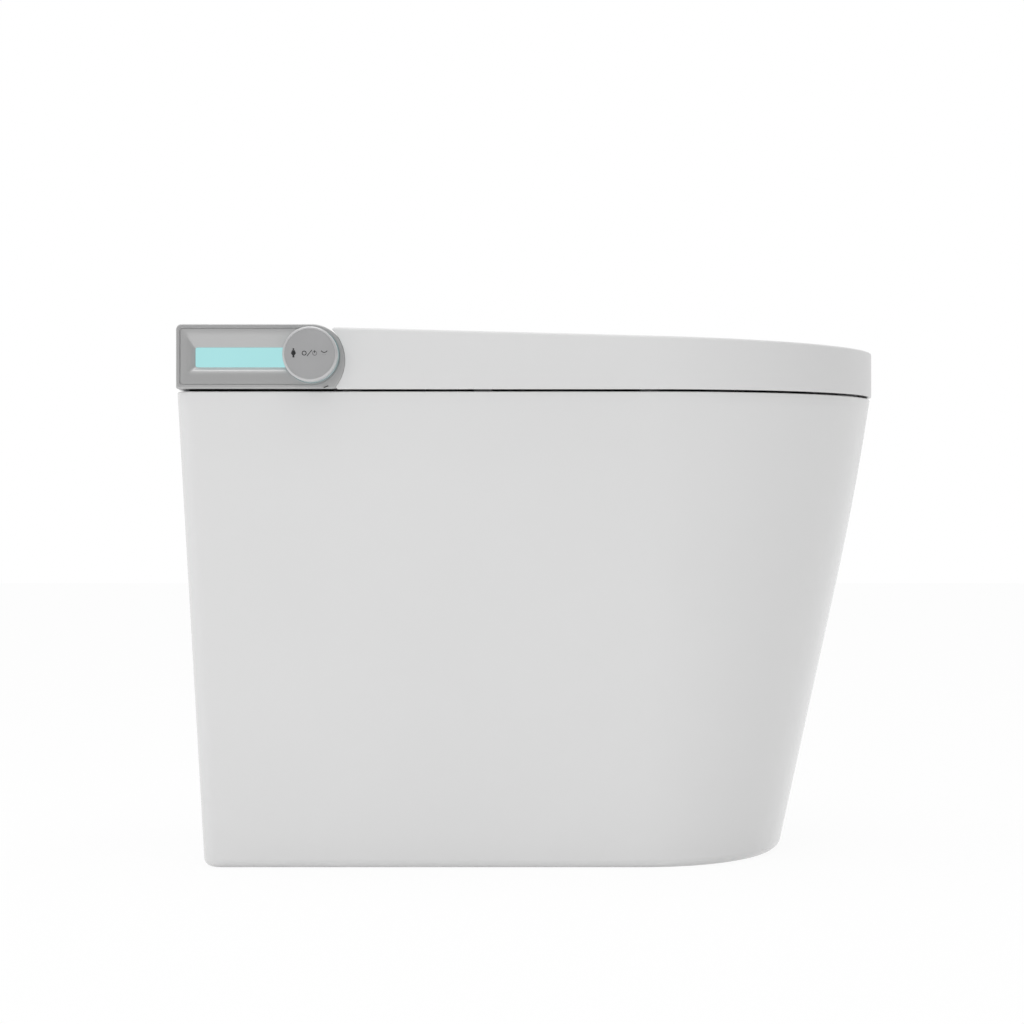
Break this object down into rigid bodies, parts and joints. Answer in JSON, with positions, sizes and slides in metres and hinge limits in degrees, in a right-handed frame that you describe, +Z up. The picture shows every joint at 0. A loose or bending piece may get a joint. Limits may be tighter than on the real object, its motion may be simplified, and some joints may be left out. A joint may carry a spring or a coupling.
{
  "type": "electronic toilet",
  "caption": "Floor-standing electronic toilet with a skirted base, heated ring seat, soft-close lid and a round control knob beside a lit window on its side.",
  "frame": {"origin": "middle of the waste outlet, on the floor", "axes": "+X towards the front of the toilet, +Y towards the sitter's left side, +Z up; the control knob is on the -Y side"},
  "size_m": [0.6543, 0.412, 0.4937],
  "materials": {
    "china": "glazed vitreous china, opaque",
    "white_shell": "gloss",
    "seat_shell": "satin",
    "inner_plastic": "matt",
    "dark_plastic": "matt",
    "bumper_rubber": "matt",
    "seal_rubber": "matt",
    "knob_metal": "satin",
    "knob_plate": "satin",
    "window_glass": "gloss, lit from behind",
    "ring_light": "gloss",
    "circuit": "satin",
    "steel": "satin",
    "sheet_steel": "satin",
    "motor_steel": "satin",
    "brass": "satin",
    "foil": "satin",
    "hose": "satin",
    "wand_white": "gloss"
  },
  "bodies": {
    "base": {"ceramic_skirt": "china", "ceramic_deck": "china", "ceramic_bowl": "china", "ceramic_sump": "china", "ceramic_trapway": "china", "outlet_seal": "seal_rubber", "deck_gasket": "seal_rubber", "deck_tray": "inner_plastic", "tray_bolts": "steel", "tray_nuts": "steel", "service_frame": "sheet_steel", "rear_cover": "white_shell", "side_cap_right": "white_shell", "side_cap_left": "white_shell", "side_cap_inlay": "white_shell", "display_window": "window_glass", "display_board": "circuit", "light_ring": "ring_light", "knob_encoder": "dark_plastic", "hinge_bracket_right": "steel", "hinge_bracket_left": "steel", "hinge_pins": "steel", "seat_damper": "dark_plastic", "lid_damper": "dark_plastic", "nozzle_housing": "inner_plastic", "wand_motor": "motor_steel", "nozzle_shroud": "wand_white", "dryer_duct": "inner_plastic", "blower_housing": "dark_plastic", "blower_motor": "motor_steel", "water_heater": "inner_plastic", "inlet_valve": "brass", "inlet_hose": "hose", "wash_hose": "hose", "flush_tank": "inner_plastic", "flush_pump": "dark_plastic", "pump_motor": "motor_steel", "flush_hose": "seal_rubber", "rim_jet": "inner_plastic", "control_board": "circuit", "power_supply": "sheet_steel", "cable_gland": "dark_plastic", "user_sensor": "dark_plastic"},
    "seat": {"seat_top": "seat_shell", "seat_base": "seat_shell", "seat_heater": "foil", "seat_bumpers": "bumper_rubber"},
    "lid": {"lid_shell": "white_shell", "lid_bumpers": "bumper_rubber"},
    "plunger": {"knob_plunger": "steel"},
    "knob": {"knob_cap": "knob_metal", "knob_face": "knob_plate"},
    "wand": {"nozzle_wand": "wand_white", "nozzle_tip": "wand_white", "nozzle_gate": "wand_white", "wand_rack": "wand_white"},
    "pinion": {"drive_pinion": "inner_plastic"},
    "flap": {"dryer_flap": "wand_white"},
    "blower_fan": {"blower_wheel": "inner_plastic"},
    "pump_rotor": {"pump_wheel": "inner_plastic"}
  },
  "joints": [
    {"name": "seat_hinge", "type": "hinge", "parent": "base", "child": "seat", "pos_m": [-0.1895, 0, 0.4659], "axis": [0, -1, 0], "range_deg": [0, 93]},
    {"name": "lid_hinge", "type": "hinge", "parent": "seat", "child": "lid", "pos_m": [-0.1895, 0, 0.4659], "axis": [0, 1, 0], "range_deg": [-94, 0]},
    {"name": "knob_press", "type": "slide", "parent": "base", "child": "plunger", "axis": [0, 1, 0], "range_m": [0, 0.0015], "stiffness_N_per_m": 900, "springref_m": -0.0006},
    {"name": "knob_turn", "type": "hinge", "parent": "plunger", "child": "knob", "pos_m": [-0.177, -0.2, 0.4655], "axis": [0, -1, 0], "range_deg": [-35, 35], "stiffness_Nm_per_rad": 0.03},
    {"name": "wand_slide", "type": "slide", "parent": "base", "child": "wand", "axis": [0.9063, 0, -0.4226], "range_m": [0, 0.11]},
    {"name": "pinion_spin", "type": "hinge", "parent": "base", "child": "pinion", "pos_m": [-0.17147, 0, 0.40236], "axis": [0, 1, 0], "range_deg": [-60, 900]},
    {"name": "dryer_flap_hinge", "type": "hinge", "parent": "base", "child": "flap", "pos_m": [-0.0972, 0.05, 0.4174], "axis": [0, -1, 0], "range_deg": [0, 70]},
    {"name": "blower_spin", "type": "hinge", "parent": "base", "child": "blower_fan", "pos_m": [-0.205, 0.05, 0.375], "axis": [0, 1, 0], "continuous": true},
    {"name": "pump_spin", "type": "hinge", "parent": "base", "child": "pump_rotor", "pos_m": [-0.205, 0.095, 0.085], "axis": [0, 0, 1], "continuous": true}
  ],
  "couplings": [
    {"joint": "pinion_spin", "follows": "wand_slide", "rad_per_m": 125}
  ]
}
